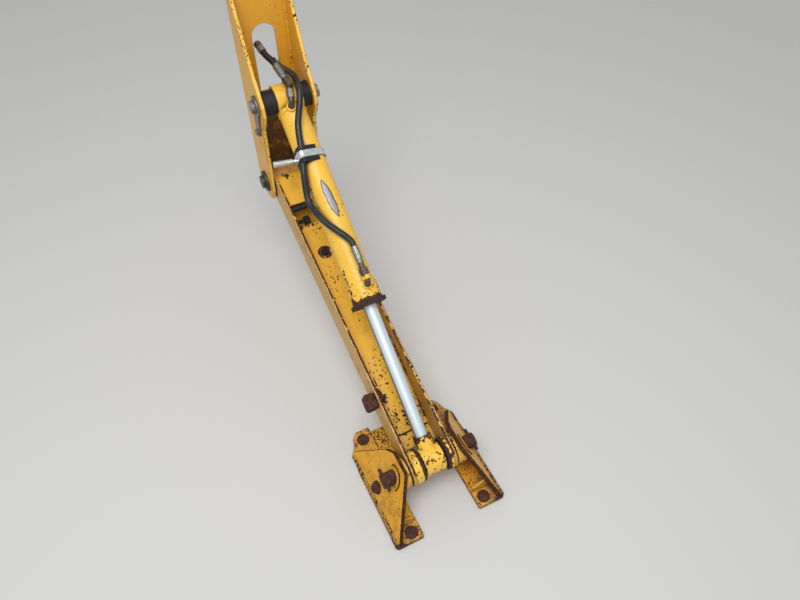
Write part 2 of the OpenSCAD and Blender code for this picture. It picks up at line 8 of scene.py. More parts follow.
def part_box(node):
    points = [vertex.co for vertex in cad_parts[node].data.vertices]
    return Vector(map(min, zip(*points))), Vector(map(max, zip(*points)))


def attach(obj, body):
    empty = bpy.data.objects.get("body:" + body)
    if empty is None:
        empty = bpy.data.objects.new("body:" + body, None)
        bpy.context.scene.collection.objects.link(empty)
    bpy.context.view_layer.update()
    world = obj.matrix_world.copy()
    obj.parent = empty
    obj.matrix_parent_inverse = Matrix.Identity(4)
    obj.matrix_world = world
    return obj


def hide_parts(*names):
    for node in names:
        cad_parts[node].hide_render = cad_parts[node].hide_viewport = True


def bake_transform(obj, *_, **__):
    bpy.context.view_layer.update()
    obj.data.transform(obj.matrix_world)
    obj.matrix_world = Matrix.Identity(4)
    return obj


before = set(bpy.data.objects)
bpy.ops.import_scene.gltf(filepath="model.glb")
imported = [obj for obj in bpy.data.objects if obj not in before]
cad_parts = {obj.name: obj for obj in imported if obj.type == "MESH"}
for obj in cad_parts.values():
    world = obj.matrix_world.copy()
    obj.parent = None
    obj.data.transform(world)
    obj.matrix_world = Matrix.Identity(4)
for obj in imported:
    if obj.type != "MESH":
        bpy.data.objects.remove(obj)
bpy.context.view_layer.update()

# The camera stands above and in front of the lowered leg, as in the photograph, and looks
# down along it. Its lens and place come from the straight edges of the plates.

view = bpy.data.objects.new("view", bpy.data.cameras.new("view"))
bpy.context.scene.collection.objects.link(view)
bpy.context.scene.camera = view
view.data.lens = 29.35
view.data.sensor_width = 36
turned, lowered, rolled = radians(62.744), radians(50.857), radians(0.745)
ahead = np.array([-sin(turned) * cos(lowered), cos(turned) * cos(lowered), -sin(lowered)])
level = np.cross(ahead, [0, 0, 1])
level /= np.linalg.norm(level)
above = np.cross(level, ahead)
right = cos(rolled) * level + sin(rolled) * above
up = cos(rolled) * above - sin(rolled) * level
placed = np.eye(4)
eye_at = (2.078, -0.5325, 1.6869)
placed[:3] = np.column_stack([right, up, -ahead, eye_at])
view.matrix_world = Matrix(placed.tolist())

# Hoses: two rubber-covered pressure hoses, which leave their fittings in the bracket's slot
# and run to the cylinder's two ports. The long one is held on the barrel by the clamp.

hose_wide, hose_sides = 0.022, 24
hose_gap, straight_out = 0.0004, 0.008
ram_pivot = np.array([0.155, 0.008, 0.378])
ram_droop = radians(32.8915)
slot_base = np.array([[0.006, -0.026, 0.512], [0.048, -0.020, 0.5015]])
slot_rod = np.array([[0.006, 0.020, 0.437], [0.048, 0.025, 0.440]])
base_sleeve = np.array([[-0.034, 0.001, 0.074], [-0.094, -0.009, 0.062]])
rod_sleeve = np.array([[0.636, 0.006, 0.078], [0.576, 0.006, 0.078]])
base_bend = np.array([
    [0.0634, -0.0178, 0.4977], [0.079, -0.0115, 0.4923], [0.095, -0.005, 0.4868],
])
rod_rise = np.array([[0.0644, 0.027, 0.4412], [0.110, 0.034, 0.452], [0.168, 0.039, 0.463]])
rod_run = np.array([
    [0.016, 0.027, 0.099], [0.062, 0.014, 0.092], [0.123, -0.013, 0.067],
    [0.180, -0.027, 0.057], [0.225, -0.035, 0.051], [0.285, -0.052, 0.037],
    [0.365, -0.065, 0.012], [0.418, -0.059, 0.028], [0.464, -0.045, 0.045],
    [0.499, -0.026, 0.057], [0.530, -0.007, 0.067], [0.555, 0.004, 0.076],
])


def on_ram(points):
    """Points given along the cylinder, forward of it and over it, as points of the frame:
    the cylinder's line is turned down by its droop about the upper pin."""
    points = np.asarray(points, float)
    along, side, over = points[..., 0], points[..., 1], points[..., 2]
    return ram_pivot + np.stack([
        along * cos(ram_droop) + over * sin(ram_droop),
        side,
        over * cos(ram_droop) - along * sin(ram_droop),
    ], -1)


def past(ends, far):
    """Point straight out of a fitting, that far beyond its end."""
    out = ends[1] - ends[0]
    return ends[1] + out / np.linalg.norm(out) * far


def flowing(points, steps):
    """Smooth curve through the points: between two of them, the cubic whose slope at each
    point is half the way from the point before to the point after."""
    points = np.asarray(points, float)
    held = np.vstack([points[:1], points, points[-1:]])
    t = np.linspace(0, 1, steps, endpoint=False)[None, :, None]
    a, b, c, d = (held[i:len(held) - 3 + i, None] for i in range(4))
    curve = 0.5 * (2 * b + (c - a) * t + (2 * a - 5 * b + 4 * c - d) * t**2
                   + (3 * b - a - 3 * c + d) * t**3)
    return np.vstack([curve.reshape(-1, 3), points[-1:]])


def skin(name, rows, loop=False, sharp=38):
    """Closed skin over rings of points that lie side by side, joined by four-sided faces. Each
    end is closed by a fan to its middle, or the last ring joins the first one in a loop. A
    skin whose volume comes out negative is turned, so that its faces point outwards."""
    rows = np.asarray(rows, float)
    count, sides = rows.shape[:2]
    points = rows.reshape(-1, 3)
    i, k = np.meshgrid(np.arange(count if loop else count - 1), np.arange(sides), indexing="ij")
    j, m = (i + 1) % count, (k + 1) % sides
    faces = np.stack([i * sides + k, j * sides + k, j * sides + m, i * sides + m], -1)
    faces = faces.reshape(-1, 4)
    a, b, c, d = (points[faces[:, n]] for n in range(4))
    volume = (a * (np.cross(b, c) + np.cross(c, d))).sum()
    fans = np.empty((0, 3), int)
    if not loop:
        k = np.arange(sides)
        last = len(points) - sides
        first = np.stack([(k + 1) % sides, np.full(sides, len(points)), k], -1)
        final = np.stack([k + last, np.full(sides, len(points) + 1), (k + 1) % sides + last], -1)
        fans = np.vstack([first, final])[:, ::-1]
        points = np.vstack([points, rows[0].mean(0), rows[-1].mean(0)])
        a, b, c = (points[fans[:, n]] for n in range(3))
        volume += (a * np.cross(b, c)).sum()
    if volume < 0:
        faces, fans = faces[:, ::-1], fans[:, ::-1]
    mesh = bpy.data.meshes.new(name)
    mesh.from_pydata(points.tolist(), [], faces.tolist() + fans.tolist())
    mesh.polygons.foreach_set("use_smooth", np.ones(len(mesh.polygons), bool))
    mesh.set_sharp_from_angle(angle=radians(sharp))
    piece = bpy.data.objects.new(name, mesh)
    bpy.context.scene.collection.objects.link(piece)
    return piece


def rings_along(path, wide, sides=24):
    """Rings of points round a path, each square to it: the path's slope crossed with the Y
    axis, and that crossed with the slope, span each ring. wide is the radius, one or each."""
    path = np.asarray(path, float)
    slope = np.gradient(path, axis=0)
    slope /= np.linalg.norm(slope, axis=1, keepdims=True)
    side = np.cross(slope, [0, 1, 0])
    side /= np.linalg.norm(side, axis=1, keepdims=True)
    over = np.cross(side, slope)
    angle = np.linspace(0, 2 * pi, sides, endpoint=False)[None, :, None]
    wide = np.broadcast_to(wide, len(path))[:, None, None]
    return path[:, None] + wide * (np.cos(angle) * side[:, None] + np.sin(angle) * over[:, None])


def measure_along(piece, path, sides):
    """UV map of a swept piece: metres along its path, and the share of the way round."""
    gone = np.concatenate([[0], np.cumsum(np.linalg.norm(np.diff(path, axis=0), axis=1))])
    along = np.append(np.repeat(gone, sides), [gone[0], gone[-1]])
    round_it = np.append(np.tile(np.arange(sides) / sides, len(path)), [0.5, 0.5])
    corner = np.empty(len(piece.data.loops), int)
    piece.data.loops.foreach_get("vertex_index", corner)
    place = np.stack([along[corner], round_it[corner]], -1)
    piece.data.uv_layers.new(name="along").data.foreach_set("uv", place.ravel())


class Tone:
    """Something that varies over a surface: one output of a node in a finish. Sums, products
    and powers of tones and numbers each add a Math node."""

    def __init__(self, finish, socket):
        self.finish, self.socket = finish, socket

    def math(self, operation, *values):
        values = dict(enumerate(values))
        return self.finish.node("ShaderNodeMath", {"operation": operation}, values)

    def __add__(self, other):
        return self.math("ADD", self, other)

    __radd__ = __add__

    def __sub__(self, other):
        return self.math("SUBTRACT", self, other)

    def __rsub__(self, other):
        return self.math("SUBTRACT", other, self)

    def __mul__(self, other):
        return self.math("MULTIPLY", self, other)

    __rmul__ = __mul__

    def __truediv__(self, other):
        return self.math("DIVIDE", self, other)

    def __pow__(self, other):
        return self.math("POWER", self, other)

    def most(self, other):
        return self.math("MAXIMUM", self, other)

    def size(self):
        return self.math("ABSOLUTE", self)

    def rise(self, low, high):
        """0 below low, 1 above high, and an even S between them."""
        limits = {"Value": self, "From Min": low, "From Max": high}
        return self.finish.node("ShaderNodeMapRange", {"interpolation_type": "SMOOTHSTEP"}, limits)


class Finish:
    """The procedural finish of one kind of surface, as a material's node tree."""

    def __init__(self, name):
        self.material = bpy.data.materials.new(name)
        self.material.use_nodes = True
        self.material.node_tree.nodes.clear()

    def node(self, kind, settings=None, values=None, out=0):
        """Adds a node: first its settings, then the values or links of its sockets."""
        node = self.material.node_tree.nodes.new(kind)
        for key, value in (settings or {}).items():
            setattr(node, key, value)
        for key, value in (values or {}).items():
            if isinstance(value, Tone):
                self.material.node_tree.links.new(value.socket, node.inputs[key])
            else:
                node.inputs[key].default_value = value
        return Tone(self, node.outputs[out]) if len(node.outputs) else node

    def place(self):
        """Place on the object, in metres."""
        return self.node("ShaderNodeTexCoord", out="Object")

    def parts(self, vector):
        """The three numbers of a vector."""
        split = self.node("ShaderNodeSeparateXYZ", {}, {"Vector": vector})
        outputs = split.socket.node.outputs
        return [Tone(self, outputs[i]) for i in range(3)]

    def noise(self, scale, detail=2.0, rough=0.5, at=None, seed=0.0):
        """Soft random pattern from 0 to 1, of that many lumps a metre."""
        values = {"Vector": at or self.place(), "W": seed, "Scale": scale, "Detail": detail,
                  "Roughness": rough}
        return self.node("ShaderNodeTexNoise", {"noise_dimensions": "4D"}, values)

    def blend(self, share, below, above):
        """Colour that goes from below to above as share goes from 0 to 1."""
        below, above = (c if isinstance(c, Tone) else (*c, 1) for c in (below, above))
        return self.node("ShaderNodeMix", {"data_type": "RGBA"}, {0: share, 6: below, 7: above}, 2)

    def bump(self, height, depth):
        """Surface raised by height, where a height of 1 is that depth in metres."""
        return self.node("ShaderNodeBump", {}, {"Height": height, "Distance": depth})

    def done(self, colour, rough, metal=0.0, normal=None, **constants):
        values = {"Base Color": colour if isinstance(colour, Tone) else (*colour, 1),
                  "Roughness": rough, "Metallic": metal}
        values.update({key.replace("_", " "): value for key, value in constants.items()})
        if normal:
            values["Normal"] = normal
        shader = self.node("ShaderNodeBsdfPrincipled", {}, values)
        self.node("ShaderNodeOutputMaterial", {}, {"Surface": shader})
        return self.material


def hose_cover():
    """Black rubber cover with the fine wrap of the cloth it was cured in, dusty and rubbed."""
    f = Finish("hose_cover")
    along, round_it, _ = f.parts(f.node("ShaderNodeUVMap", {"uv_map": "along"}))
    wrap = (along * 900 + round_it * 2 * pi).math("SINE") * 0.5 + 0.5
    dusty = f.noise(38, 3).rise(0.45, 0.75)
    rubbed = f.noise(420, 2).rise(0.5, 0.8)
    colour = f.blend(dusty * 0.4, (0.007, 0.009, 0.011), (0.050, 0.048, 0.044))
    colour = f.blend(rubbed * 0.2, colour, (0.07, 0.075, 0.08))
    normal = f.bump(wrap * 0.35 + rubbed * 0.4, 0.00025)
    return f.done(colour, 0.36 + dusty * 0.25, normal=normal)


base_route = np.vstack([
    past(slot_base, hose_gap), past(slot_base, straight_out), base_bend, on_ram(base_sleeve[1]),
])
rod_route = np.vstack([
    past(slot_rod, hose_gap), past(slot_rod, straight_out), rod_rise, on_ram(rod_run),
    on_ram(rod_sleeve[1]),
])
hose_finish = hose_cover()
hoses = {}
for name, route in (("hose_base", base_route), ("hose_rod", rod_route)):
    path = flowing(route, steps=9)
    hose = skin(name + "_cover", rings_along(path, hose_wide / 2, hose_sides))
    measure_along(hose, path, hose_sides)
    hose.data.materials.append(hose_finish)
    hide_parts(name)
    hoses[name] = hose, path
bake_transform(hoses["hose_base"][0], "bracket", "barrel",
         start=slot_base[1], end=on_ram(base_sleeve[1]))
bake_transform(hoses["hose_rod"][0], "bracket", "barrel",
         start=slot_rod[1], end=on_ram(rod_run[2]))

# Hose fittings: plated steel sleeves, crimped on the hoses by eight jaws. In the bracket's slot
# each has a hexagon nut, which has lost its plating and gone brown.


def hexagon(angle, flats):
    """Radius of a hexagon across those flats: half the flats over the cosine of the angle to
    the middle of the nearest side."""
    return flats / 2 / np.cos((angle + pi / 6) % (pi / 3) - pi / 6)


def turned_between(name, start, end, profile, sides=48, flats=None, jaws=0.0):
    """Turned piece on the line from start to end. profile lists (share of the way, radius).
    With flats, each radius is at most the hexagon's, so that a nut has turned corners. jaws is
    the depth of a crimp's eight dents: the cosine of four times the angle, to its eighth power."""
    start, end = np.asarray(start, float), np.asarray(end, float)
    profile = np.asarray(profile, float)
    line = (end - start) / np.linalg.norm(end - start)
    side = np.cross(line, [0, 1, 0] if abs(line[1]) < 0.9 else [1, 0, 0])
    side /= np.linalg.norm(side)
    over = np.cross(side, line)
    angle = np.linspace(0, 2 * pi, sides, endpoint=False)
    wide = np.repeat(profile[:, 1:2], sides, 1)
    if flats:
        wide = np.minimum(wide, hexagon(angle, flats))
    if jaws:
        middle = np.sin(pi * np.clip(profile[:, 0], 0, 1)) ** 0.5
        wide = wide - jaws * middle[:, None] * np.cos(4 * angle) ** 8
    base = start + profile[:, :1] * (end - start)
    rows = base[:, None] + wide[..., None] * (
        np.cos(angle)[:, None] * side + np.sin(angle)[:, None] * over
    )
    return skin(name, rows, sharp=28)


def plated_steel(name, colour, dull, dirt):
    """Zinc plating that has gone dull, with dirt and painted shade in its hollows, and a little
    rust.
    """
    f = Finish(name)
    cloud = f.noise(60, 4, 0.6)
    spots = f.noise(340, 3, 0.6, seed=2).rise(0.56, 0.68)
    open_sky = f.node("ShaderNodeAmbientOcclusion", {"samples": 6}, {"Distance": 0.006}, 1)
    # Where little sky reaches, the plating is darkened: painted shade, joined by spots and clouds
    # of dirt.
    shade_and_dirt = (1 - open_sky).rise(0.1, 0.6)
    shade = f.blend(cloud.rise(0.3, 0.7), colour, tuple(0.72 * c for c in colour))
    soiled_and_shaded = (shade_and_dirt * 0.8 + spots * 0.6).most(cloud.rise(0.55, 0.8) * dirt)
    shade = f.blend(soiled_and_shaded, shade, (0.055, 0.04, 0.028))
    rough = dull + soiled_and_shaded * 0.35
    metal = 0.95 - soiled_and_shaded * 0.75
    scratches = f.noise(900, 2, seed=5)
    return f.done(shade, rough, metal, f.bump(scratches + soiled_and_shaded * 0.6, 0.00012))


crimp_zinc = plated_steel("crimp_zinc", (0.36, 0.38, 0.36), 0.42, 0.5)
dark_nut = plated_steel("dark_nut", (0.17, 0.14, 0.12), 0.5, 0.9)
bright_zinc = plated_steel("bright_zinc", (0.88, 0.90, 0.92), 0.30, 0.08)
jaw_dent, slot_nut_flats, nut_share = 0.0009, 0.0242, 0.36
sleeve_profile = [(0, 0.0085), (0.03, 0.0118), (0.12, 0.0122), (0.14, 0.0108), (0.2, 0.0108),
                  (0.22, 0.0130), (0.3, 0.0133), (0.38, 0.0128), (0.46, 0.0133), (0.54, 0.0128),
                  (0.62, 0.0133), (0.70, 0.0128), (0.78, 0.0133), (0.9, 0.0131), (0.97, 0.0129),
                  (1, 0.0116)]
nut_profile = [(0, 0.5), (0.03, 0.54), (0.12, 0.577), (0.88, 0.577), (0.97, 0.54), (1, 0.5)]


def hex_nut(name, start, end, flats):
    """Hexagon nut with turned corners: its profile times the flats."""
    rows = [(share, wide * flats) for share, wide in nut_profile]
    return turned_between(name, start, end, rows, sides=72, flats=flats)


for name, ends in (("base", base_sleeve), ("rod", rod_sleeve)):
    sleeve = turned_between(f"{name}_hose_sleeve", *on_ram(ends), sleeve_profile, jaws=jaw_dent)
    sleeve.data.materials.append(crimp_zinc)
    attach(sleeve, "barrel")
    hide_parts(f"hose_{name}_sleeve")
for name, ends in (("base", slot_base), ("rod", slot_rod)):
    shoulder = ends[0] + nut_share * (ends[1] - ends[0])
    sleeve = turned_between(f"{name}_slot_sleeve", shoulder, ends[1], sleeve_profile,
                            jaws=jaw_dent)
    nut = hex_nut(f"{name}_slot_nut", ends[0], shoulder, slot_nut_flats)
    for piece, finish in ((sleeve, crimp_zinc), (nut, dark_nut)):
        piece.data.materials.append(finish)
        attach(piece, "bracket")
        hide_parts("slot_fittings")

# Bracket: the frame's outrigger mount, a flame-cut web plate between two cheek plates, welded
# in the inner corners and sprayed yellow. Its edges are lightened by a painted highlight, and
# they are chipped down to rust.


class Paint(Finish):
    """Sprayed yellow paint on steel plate. edge is how far from its edges the paint is thin and
    takes a painted highlight, worn how much has gone from there, chips how many specks have gone
    from the flats, flakes how many larger patches, dust how much lies on it, grime how
    dark dirt and painted shade make its inner corners, and stain how brown it has gone in clouds.
    Between its making and its closing, a section may change where the paint counts as a corner,
    where it gets a painted highlight, or where dirt and painted shade darken it."""

    rust_core = (0.028, 0.011, 0.006)
    rust_halo = (0.20, 0.066, 0.014)
    dust_grey = (0.45, 0.35, 0.22)
    dirt_and_shade_brown = (0.13, 0.062, 0.022)

    def __init__(self, name, colour, edge, worn, chips, flakes, dust, grime, stain):
        super().__init__(name)
        self.at = self.place()
        self.x, self.y, self.z = self.parts(self.at)
        self.colour, self.worn, self.chips, self.flakes = colour, worn, chips, flakes
        self.dust, self.grime, self.stain = dust, grime, stain
        open_sky = self.node("ShaderNodeAmbientOcclusion", {"samples": 8}, {"Distance": 0.02}, 1)
        near_sky = self.node("ShaderNodeAmbientOcclusion", {"samples": 6}, {"Distance": 0.005}, 1)
        eased = self.node("ShaderNodeBevel", {"samples": 6}, {"Radius": edge})
        flat = self.node("ShaderNodeNewGeometry", out="Normal")
        self.flat = self.node("ShaderNodeTexCoord", out="Normal")
        facing = self.node("ShaderNodeVectorMath", {"operation": "DOT_PRODUCT"},
                           {0: eased, 1: flat}, "Value")
        self.corner = (1 - facing).rise(0.0, 0.26) * near_sky.rise(0.72, 0.96)
        # Convex edges get a lighter tint of the paint: a painted highlight.
        self.painted_highlight = self.corner.rise(0.05, 0.5) * 0.7
        # Where little sky reaches counts as an inner corner, to be darkened towards brown: painted
        # shade, with the grime that gathers there.
        self.shade_and_dirt = (1 - open_sky).rise(0.12, 0.75)
        self.rounded = self.node("ShaderNodeBevel", {"samples": 4}, {"Radius": 0.0012})

    def close(self, lost=0.0, size=1.0, rusted=0.0):
        """Works out the finish. lost lowers what the paint stands, in parts of the noise, size
        scales its chips, and rusted is where it has gone altogether. Paint is gone where a
        noise with its middle at 0 rises over its own threshold, the last number of its line."""
        lump = self.noise(8, 3, seed=1) - 0.5
        ragged = self.noise(140 / size, 4, 0.65, seed=2) - 0.5
        speck = self.noise(125 / size**0.5, 2, 0.5, seed=3) - 0.5
        flake = self.noise(48 / size, 4, 0.62, seed=4) - 0.5
        edges = self.corner * 0.30 + ragged * 0.62 + lump * 0.25 - (0.36 - 0.12 * self.worn)
        specks = speck + lump * 0.45 - (0.20 - 0.05 * self.chips)
        flaked = flake + lump * 0.35 + ragged * 0.15 - (0.26 - 0.07 * self.flakes)
        loss = edges.most(specks).most(flaked) + lost
        halo = loss.rise(-0.035, -0.002).most(rusted)
        core = loss.rise(-0.004, 0.02).most(rusted * (ragged + 0.5).rise(0.34, 0.5))
        cloud = self.noise(4.5, 4, 0.6, seed=5)
        smear = self.noise(17, 5, 0.65, seed=6)
        colour = self.blend(cloud.rise(0.35, 0.65) * 0.3, self.colour,
                            tuple(0.84 * c for c in self.colour))
        # The painted highlight is a lighter copy of the paint's yellow.
        highlight_tint = tuple(min(0.92, 1.28 * c + 0.05) for c in self.colour)
        colour = self.blend(self.painted_highlight, colour, highlight_tint)
        # Clouds of stain, and painted shade with grime where little sky reaches, take the paint
        # towards brown.
        stain_and_shade = (smear.rise(0.5, 0.8) * self.stain).most(self.shade_and_dirt * self.grime)
        colour = self.blend(stain_and_shade, colour, self.dirt_and_shade_brown)
        dusty = (self.noise(26, 6, 0.7, seed=7).rise(0.36, 0.72) * 0.8 + 0.2) * self.dust
        colour = self.blend(dusty, colour, self.dust_grey)
        colour = self.blend(halo, colour, self.rust_halo)
        rust = self.noise(240, 4, 0.7, seed=9)
        core_colour = self.blend(rust.rise(0.4, 0.7), self.rust_core, (0.085, 0.032, 0.014))
        colour = self.blend(core, colour, core_colour)
        rough = (0.36 + dusty * 0.45 + stain_and_shade * 0.25).most(halo * 0.86)
        peel = self.noise(330, 2, seed=8)
        height = 1 - halo + peel * 0.12 + rust * core * 0.8
        bump = self.node("ShaderNodeBump", {}, {"Height": height, "Distance": 0.0004,
                                                "Normal": self.rounded})
        self.tint, self.rough, self.normal = colour, rough, bump
        return self

    def sprayed(self, **wear):
        self.close(**wear)
        return self.done(self.tint, self.rough, normal=self.normal)


def dress(finish, *nodes):
    """Gives CAD nodes a finish in place of their plain colour."""
    for node in nodes:
        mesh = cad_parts[node].data
        mesh.materials.clear()
        mesh.materials.append(finish)


def bead(name, path, face_a, face_b, size, finish, body, pitch=0.0042):
    """Weld bead along an inner corner. Its surface turns from face_a to face_b round the path
    at the bead's size, which swells by a tenth over each drop as half a sine wave, and each
    drop's line bows back at its sides. Its ends taper as a square root over the first drops."""
    path = np.asarray(path, float)
    gone = np.concatenate([[0], np.cumsum(np.linalg.norm(np.diff(path, axis=0), axis=1))])
    along = np.linspace(0, gone[-1], max(4, int(gone[-1] / 0.0013)))
    line = np.stack([np.interp(along, gone, path[:, i]) for i in range(3)], -1)
    a = np.broadcast_to(face_a, path.shape)
    b = np.broadcast_to(face_b, path.shape)
    a = np.stack([np.interp(along, gone, a[:, i]) for i in range(3)], -1)
    b = np.stack([np.interp(along, gone, b[:, i]) for i in range(3)], -1)
    turn = np.linspace(0, 1, 7)
    far = along[:, None]
    phase = far / pitch + 0.5 * (2 * turn - 1) ** 2 + 0.12 * np.sin(far * 190)
    drop = np.abs(np.sin(pi * phase))
    sway = 1 + 0.06 * np.sin(far * 83 + 1.3) + 0.05 * np.sin(far * 211)
    taper = np.clip(np.minimum(far, gone[-1] - far) / size, 0.04, 1) ** 0.5
    wide = size * sway * (0.9 + 0.1 * drop) * taper
    turn = turn[:, None]
    out = np.cos(turn * pi / 2) * a[:, None] + np.sin(turn * pi / 2) * b[:, None]
    crown = line[:, None] + wide[..., None] * out * (1 - 0.16 * np.sin(turn * pi))
    root = line[:, None] - 0.0006 * (a + b)[:, None]
    rows = np.concatenate([root, crown], 1)
    piece = skin(name, rows, sharp=70)
    piece.data.materials.append(finish)
    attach(piece, body)


frame_yellow = (0.77, 0.385, 0.022)
cheek_in, web_thick, weld_low, weld_high = 0.087, 0.016, -0.072, 0.737
bracket_paint = Paint("bracket_paint", frame_yellow, edge=0.0065, worn=0.7, chips=-0.2,
                      flakes=-0.3, dust=0.03, grime=0.8, stain=0.18)
outward, _, _ = bracket_paint.parts(bracket_paint.flat)
on_cheek = bracket_paint.y.size().rise(cheek_in - 0.001, cheek_in)
# The cheeks' front edges get the painted highlight in full, and lose a little more paint.
front_edge = outward.rise(0.5, 0.8) * on_cheek
bracket_paint.painted_highlight = bracket_paint.painted_highlight.most(front_edge)
bracket_paint = bracket_paint.sprayed(lost=front_edge * 0.055)
web_paint = Paint("web_paint", frame_yellow, edge=0.0065, worn=0.5, chips=-0.3, flakes=-0.3,
                  dust=0.03, grime=0.9, stain=0.2)
# Low on the web's front face, between the cheeks, the web is darkened nearly to black in clouds:
# painted shade where it lies deep in shadow.
painted_shade_under_slot = (1 - web_paint.z.rise(0.20, 0.36)) * (1 - web_paint.y.size().rise(0.094, 0.104))
painted_shade_under_slot = painted_shade_under_slot * web_paint.noise(22, 5, 0.6, seed=31).rise(0.25, 0.5)
outward, _, _ = web_paint.parts(web_paint.flat)
painted_shade_under_slot = painted_shade_under_slot * outward.rise(0.5, 0.8)
web_paint.shade_and_dirt = web_paint.shade_and_dirt.most(painted_shade_under_slot)
# On the web, the brown of grime and painted shade is nearly black.
web_paint.dirt_and_shade_brown = (0.045, 0.022, 0.009)
web_paint = web_paint.sprayed()
dress(bracket_paint, "bracket_rear_cheek", "bracket_front_cheek")
dress(web_paint, "bracket_web")
for side, where in ((-1, "rear"), (1, "front")):
    corner = [[web_thick, side * cheek_in, z] for z in (weld_low, weld_high)]
    bead(f"bracket_{where}_weld", corner, (1, 0, 0), (0, -side, 0), 0.008, bracket_paint,
         "bracket")

# Pins: turned steel, greased, the upper one kept from turning by a flat bar that is bolted to
# the cheek. Grease and dust have gone dark on their ends and on the leg pin's collars.


def pin_steel(name, clean, greased):
    """Turned and greased steel: dark grease, painted shade in its hollows, bare rubbed places
    and a little rust.
    """
    f = Finish(name)
    grease = f.noise(32, 4, 0.6).rise(0.36, 0.66)
    fine = f.noise(520, 3, 0.6, seed=2)
    open_sky = f.node("ShaderNodeAmbientOcclusion", {"samples": 6}, {"Distance": 0.012}, 1)
    # The steel goes dark with grease, and with painted shade where little sky reaches.
    dirt = (1 - open_sky).rise(0.1, 0.6).most(grease * greased)
    colour = f.blend(dirt, clean, (0.030, 0.025, 0.020))
    colour = f.blend(fine.rise(0.6, 0.72) * 0.6, colour, (0.17, 0.085, 0.035))
    rounded = f.node("ShaderNodeBevel", {"samples": 4}, {"Radius": 0.0015})
    bump = f.node("ShaderNodeBump", {}, {"Height": fine + grease, "Distance": 0.00025,
                                         "Normal": rounded})
    return f.done(colour, 0.38 + dirt * 0.3, 0.85 - dirt * 0.6, bump)


dress(pin_steel("pin_steel", (0.34, 0.32, 0.30), 0.7), "upper_pin", "upper_pin_keeper")
dress(pin_steel("greased_steel", (0.10, 0.095, 0.085), 0.9), "leg_pin", "leg_pin_collars")

# Leg: a box of two deep side plates with a sunk top plate and a ramp down to the foot, a
# bottom plate, and bosses for the foot pin. It lies outside all year, so dust sits on its
# sides, and rust creeps along its seams and from every chip.

leg_pivot = np.array([0.09, 0, 0])
leg_droop = radians(16.2)
leg_in, top_face = 0.070, -0.004
plate_start, ramp_start, ramp_end = 0.240, 0.830, (1.085, -0.0425)
ramp_run, ramp_drop = 0.28, 0.042
plug_at = (0.372, -0.012)


def on_leg(points):
    """Points given along the leg, forward of its middle and over it, as points of the frame."""
    points = np.asarray(points, float)
    along, side, over = points[..., 0], points[..., 1], points[..., 2]
    return leg_pivot + np.stack([
        along * cos(leg_droop) + over * sin(leg_droop),
        side,
        over * cos(leg_droop) - along * sin(leg_droop),
    ], -1)


def turn_leg(vector):
    """A direction given in the leg's frame."""
    return on_leg(vector) - leg_pivot


def along_leg(paint):
    """The shader's place along the leg, forward of its middle and over it."""
    return paint.parts(paint.node(
        "ShaderNodeMapping", {"vector_type": "TEXTURE"},
        {"Vector": paint.at, "Location": leg_pivot, "Rotation": (0, leg_droop, 0)}))


def far_from(spot):
    """Distance on the top plate from a spot, given along the leg and forward of its middle."""
    return ((down_leg - spot[0]) ** 2 + (aside - spot[1]) ** 2) ** 0.5


def rust_spot(spot, wide, lumps, uneven, soft, seed):
    """Spot of rust: its edge is where the distance passes that width, moved in and out by a
    noise of so many lumps a metre, uneven metres in all, and softened over soft metres."""
    moved = (top_paint.noise(lumps, 4, seed=seed) - 0.5) * uneven
    return (wide - far_from(spot) + moved).rise(0, soft)


# The top plate gets a lighter yellow than the side plates: painted light on its upward face.
top_paint = Paint("leg_top_paint", (0.88, 0.48, 0.036), edge=0.006, worn=0.9, chips=0.6,
                  flakes=0.3, dust=0.05, grime=0.9, stain=0.4)
down_leg, aside, over = along_leg(top_paint)
ramp_bend = 1 - (down_leg - ramp_start).size().rise(0.010, 0.022)
top_paint.corner = top_paint.corner * (1 - ramp_bend)
top_paint.shade_and_dirt = top_paint.shade_and_dirt * (1 - ramp_bend)
cover = 1 - down_leg.rise(0.18, 0.22)
upper_face = over.rise(-0.02, -0.01)
start_edge = (1 - down_leg.rise(0.238, 0.262)) * upper_face
plug_ring = (far_from(plug_at) - 0.0225).size().rise(0.006, 0.0035) * upper_face
plug_ring = plug_ring * top_paint.noise(70, 3, seed=17).rise(0.38, 0.46)
by_block = rust_spot((0.960, -0.068), 0.034, 60, 0.05, 0.006, seed=18)
by_start = rust_spot((0.242, -0.062), 0.020, 70, 0.04, 0.005, seed=19) * (1 - cover)
on_cover = rust_spot((0.038, -0.030), 0.013, 75, 0.08, 0.005, seed=20) * cover
top_paint = top_paint.sprayed(
    lost=down_leg.rise(0.55, 1.05) * 0.07 + start_edge * (1 - cover) * 0.10 - cover * 0.06,
    rusted=plug_ring.most(by_block).most(by_start).most(on_cover), size=1.15)
# The side plates get a darker yellow than the top plate: painted shade on their upright faces,
# with dust over it.
side_paint = Paint("leg_side_paint", (0.60, 0.315, 0.034), edge=0.006, worn=1.0, chips=0.1,
                   flakes=0.0, dust=0.30, grime=0.9, stain=0.7)
down_leg, aside, _ = along_leg(side_paint)
side_tilt, _, side_rise = side_paint.parts(side_paint.flat)
on_edge = (side_tilt * sin(leg_droop) + side_rise * cos(leg_droop)).rise(0.7, 0.9)
on_edge = on_edge * aside.size().rise(leg_in - 0.001, leg_in - 0.0005)
wavy = (side_paint.noise(38, 4, 0.6, seed=22) - 0.5) * 0.012
inner_edge = on_edge * (1 - (aside.size() + wavy).rise(leg_in + 0.0068, leg_in + 0.0080))
front_side = aside.rise(0.0, 0.01)
worn_bare = side_paint.noise(26, 4, 0.6, seed=21) + down_leg.rise(0.03, 0.35) * 0.16
worn_bare = (worn_bare - front_side * 0.10).rise(0.50, 0.56)
